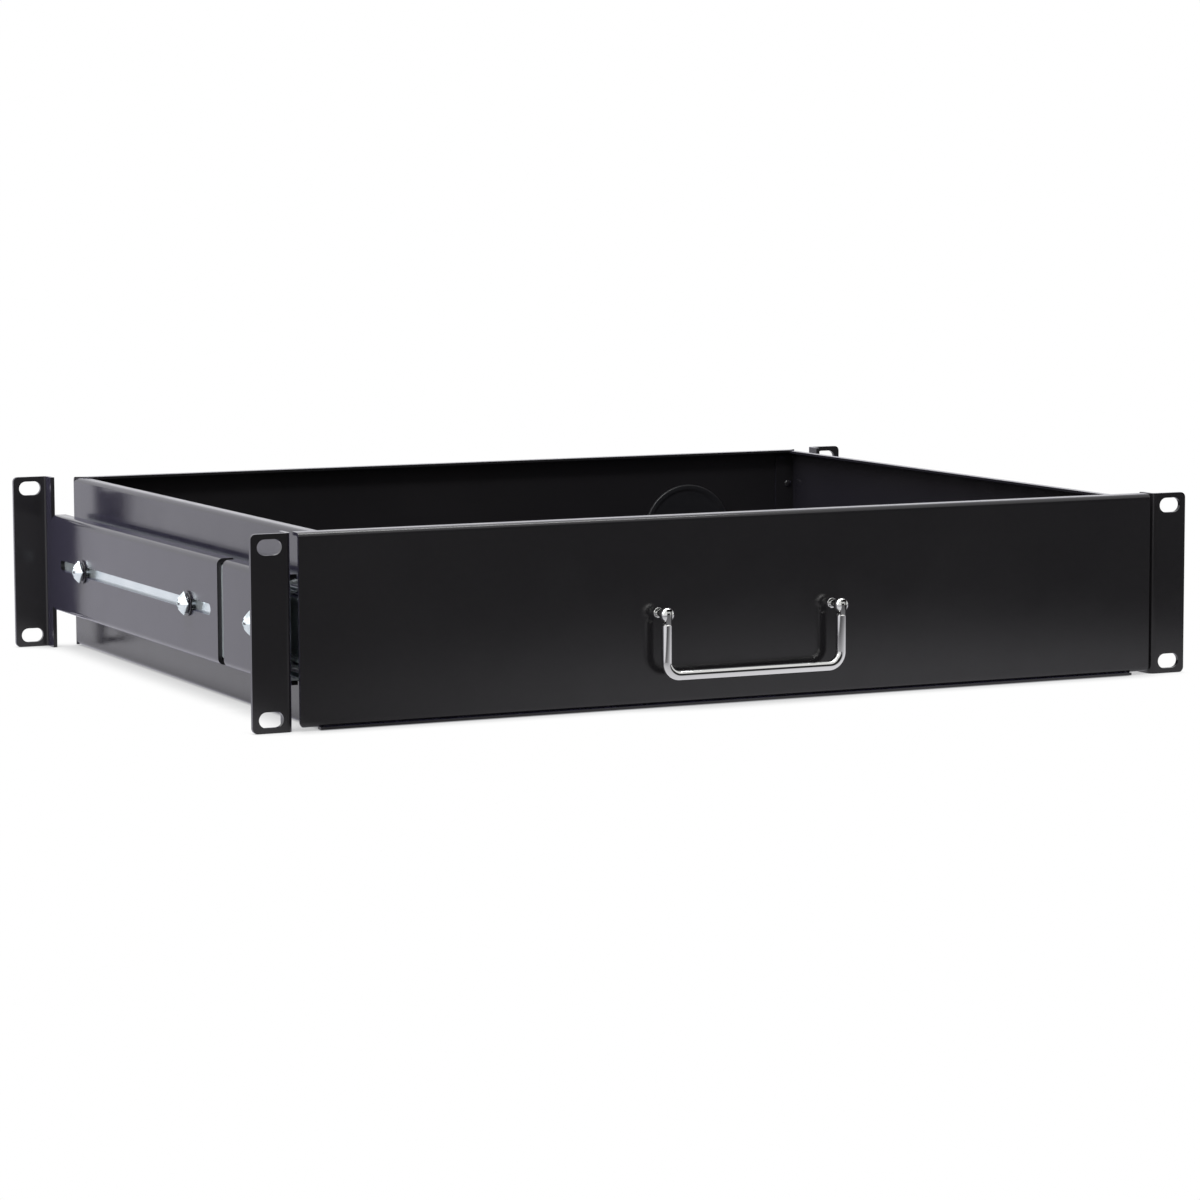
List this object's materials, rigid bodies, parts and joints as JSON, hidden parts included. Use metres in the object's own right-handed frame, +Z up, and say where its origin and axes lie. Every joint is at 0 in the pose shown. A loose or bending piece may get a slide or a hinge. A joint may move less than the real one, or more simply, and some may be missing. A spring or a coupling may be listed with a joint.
{
  "type": "sliding rack drawer",
  "caption": "Shallow sheet-steel rack drawer on telescopic ball slides, with depth-adjustable side brackets, blanked cable entries and a swinging bail handle.",
  "frame": {"origin": "centre of the front ears' hole pattern, on the ears' rear face that meets the rack posts", "axes": "+X to the right of someone facing the drawer, +Y into the rack, +Z up; the drawer opens towards -Y"},
  "size_m": [0.4826, 0.3702, 0.0882],
  "materials": {
    "black_paint": "semi-gloss fine black powder coat",
    "zinc_steel": "bright zinc plate",
    "handle_chrome": "polished chrome plate",
    "ball_steel": "polished steel",
    "bumper_rubber": "moulded black rubber",
    "plug_plastic": "fine satin black moulding"
  },
  "bodies": {
    "rails": {"front_bracket_left": "black_paint", "front_bracket_right": "black_paint", "outer_member_left": "zinc_steel", "outer_member_right": "zinc_steel", "slide_bumper_left": "bumper_rubber", "slide_bumper_right": "bumper_rubber", "front_bracket_screws": "zinc_steel", "rear_bracket_screws": "zinc_steel"},
    "rear_left": {"rear_bracket_left": "black_paint"},
    "rear_right": {"rear_bracket_right": "black_paint"},
    "middle_left": {"middle_member_left": "zinc_steel"},
    "middle_right": {"middle_member_right": "zinc_steel"},
    "outer_row_left": {"outer_cage_left": "zinc_steel", "outer_balls_left": "ball_steel"},
    "outer_row_right": {"outer_cage_right": "zinc_steel", "outer_balls_right": "ball_steel"},
    "inner_row_left": {"inner_cage_left": "zinc_steel", "inner_balls_left": "ball_steel"},
    "inner_row_right": {"inner_cage_right": "zinc_steel", "inner_balls_right": "ball_steel"},
    "drawer": {"drawer_tray": "black_paint", "rear_wall": "black_paint", "front_panel": "black_paint", "cable_plugs": "plug_plastic", "inner_member_left": "zinc_steel", "inner_member_right": "zinc_steel", "handle_posts": "handle_chrome", "handle_nuts": "zinc_steel", "handle_pins": "ball_steel"},
    "handle": {"handle_bail": "handle_chrome"}
  },
  "joints": [
    {"name": "drawer_slide", "type": "slide", "parent": "rails", "child": "drawer", "axis": [0, -1, 0], "range_m": [0, 0.33]},
    {"name": "middle_left_slide", "type": "slide", "parent": "rails", "child": "middle_left", "axis": [0, -1, 0], "range_m": [0, 0.165]},
    {"name": "outer_row_left_slide", "type": "slide", "parent": "rails", "child": "outer_row_left", "axis": [0, -1, 0], "range_m": [0, 0.0825]},
    {"name": "inner_row_left_slide", "type": "slide", "parent": "rails", "child": "inner_row_left", "axis": [0, -1, 0], "range_m": [0, 0.2475]},
    {"name": "middle_right_slide", "type": "slide", "parent": "rails", "child": "middle_right", "axis": [0, -1, 0], "range_m": [0, 0.165]},
    {"name": "outer_row_right_slide", "type": "slide", "parent": "rails", "child": "outer_row_right", "axis": [0, -1, 0], "range_m": [0, 0.0825]},
    {"name": "inner_row_right_slide", "type": "slide", "parent": "rails", "child": "inner_row_right", "axis": [0, -1, 0], "range_m": [0, 0.2475]},
    {"name": "rear_left_depth", "type": "slide", "parent": "rails", "child": "rear_left", "axis": [0, 1, 0], "range_m": [-0.007, 0.028]},
    {"name": "rear_right_depth", "type": "slide", "parent": "rails", "child": "rear_right", "axis": [0, 1, 0], "range_m": [-0.007, 0.028]},
    {"name": "handle_hinge", "type": "hinge", "parent": "drawer", "child": "handle", "pos_m": [0, -0.0135, 0], "axis": [-1, 0, 0], "range_deg": [-12, 100]}
  ],
  "couplings": [
    {"joint": "middle_left_slide", "follows": "drawer_slide", "ratio": 0.5},
    {"joint": "outer_row_left_slide", "follows": "drawer_slide", "ratio": 0.25},
    {"joint": "inner_row_left_slide", "follows": "drawer_slide", "ratio": 0.75},
    {"joint": "middle_right_slide", "follows": "drawer_slide", "ratio": 0.5},
    {"joint": "outer_row_right_slide", "follows": "drawer_slide", "ratio": 0.25},
    {"joint": "inner_row_right_slide", "follows": "drawer_slide", "ratio": 0.75}
  ]
}
